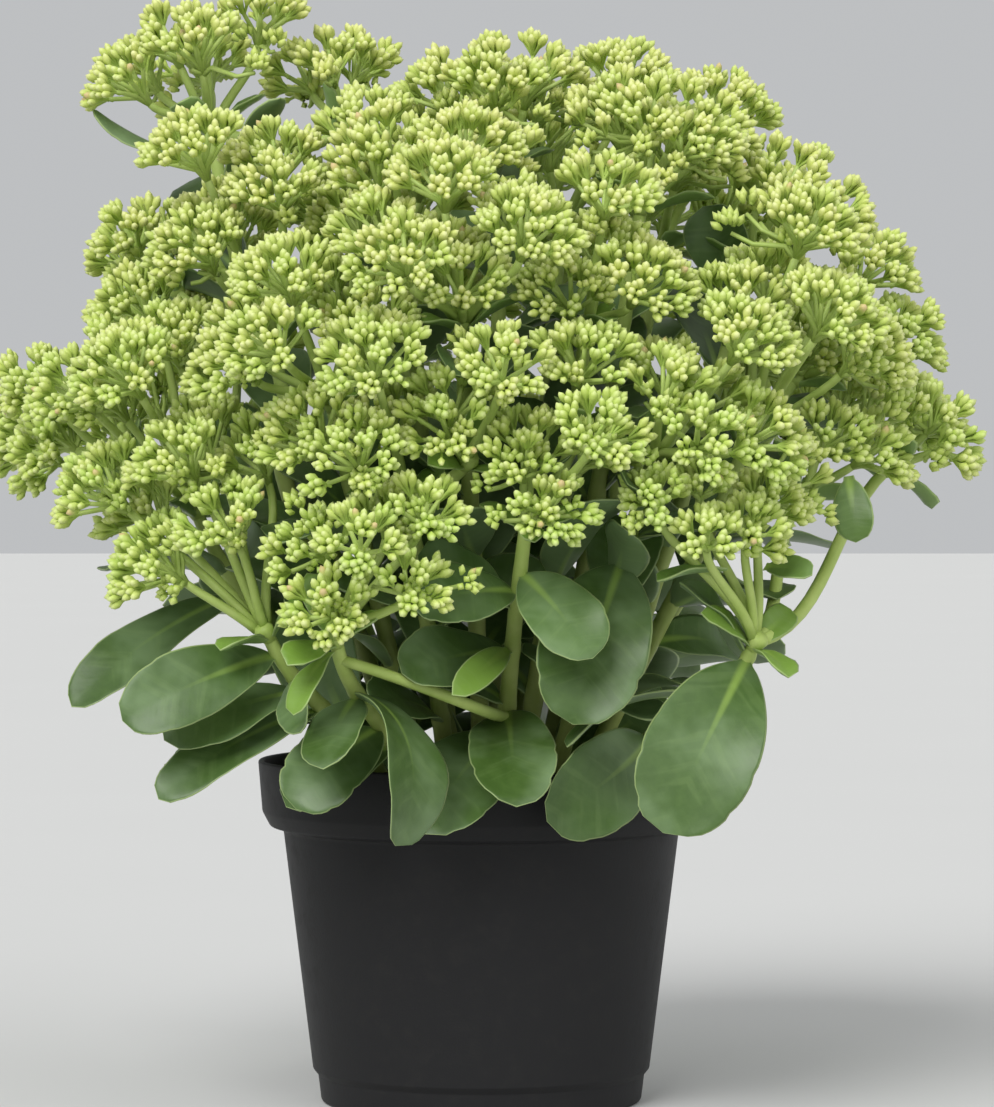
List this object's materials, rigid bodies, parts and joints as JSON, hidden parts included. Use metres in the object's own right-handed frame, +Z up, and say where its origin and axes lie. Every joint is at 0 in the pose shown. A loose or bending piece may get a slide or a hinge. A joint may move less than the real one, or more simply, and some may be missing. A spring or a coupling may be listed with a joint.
{
  "type": "potted stonecrop plant",
  "caption": "Potted border stonecrop in bud: a dome of flat, branched heads of closed green buds on leafy stems, in a round black nursery pot of compost.",
  "frame": {"origin": "middle of the pot's underside, on the surface that the pot stands on", "axes": "+Z up, -Y towards the viewer at the plant's front, +X to the viewer's right"},
  "size_m": [0.3801, 0.3382, 0.4303],
  "materials": {
    "pot": "satin black blow-moulded polyethylene",
    "soil": "damp dark brown compost",
    "leaf": "fleshy grey-green leaf with a waxy bloom",
    "bud": "soft satin pale yellow-green bud"
  },
  "bodies": {
    "root": {"pot": "pot", "soil": "soil", "leafy_stem_01": "leaf", "leafy_stem_02": "leaf", "leafy_stem_03": "leaf", "leafy_stem_04": "leaf", "leafy_stem_05": "leaf", "leafy_stem_06": "leaf", "leafy_stem_07": "leaf", "leafy_stem_08": "leaf", "leafy_stem_09": "leaf", "leafy_stem_10": "leaf", "leafy_stem_11": "leaf", "leafy_stem_12": "leaf", "leafy_stem_13": "leaf", "leafy_stem_14": "leaf", "leafy_stem_15": "leaf", "leafy_stem_16": "leaf", "leafy_stem_17": "leaf", "leafy_stem_18": "leaf", "leafy_stem_19": "leaf", "leafy_stem_20": "leaf", "leafy_stem_21": "leaf", "leafy_stem_22": "leaf", "leafy_stem_23": "leaf", "leafy_stem_24": "leaf", "leafy_stem_25": "leaf", "leafy_stem_26": "leaf", "leafy_stem_27": "leaf", "flower_head_01": "bud", "flower_head_02": "bud", "flower_head_03": "bud", "flower_head_04": "bud", "flower_head_05": "bud", "flower_head_06": "bud", "flower_head_07": "bud", "flower_head_08": "bud", "flower_head_09": "bud", "flower_head_10": "bud", "flower_head_11": "bud", "flower_head_12": "bud", "flower_head_13": "bud", "flower_head_14": "bud", "flower_head_15": "bud", "flower_head_16": "bud", "flower_head_17": "bud", "flower_head_18": "bud", "flower_head_19": "bud", "flower_head_20": "bud", "flower_head_21": "bud", "flower_head_22": "bud", "flower_head_23": "bud", "flower_head_24": "bud", "flower_head_25": "bud", "flower_head_26": "bud", "flower_head_27": "bud"}
  },
  "joints": []
}
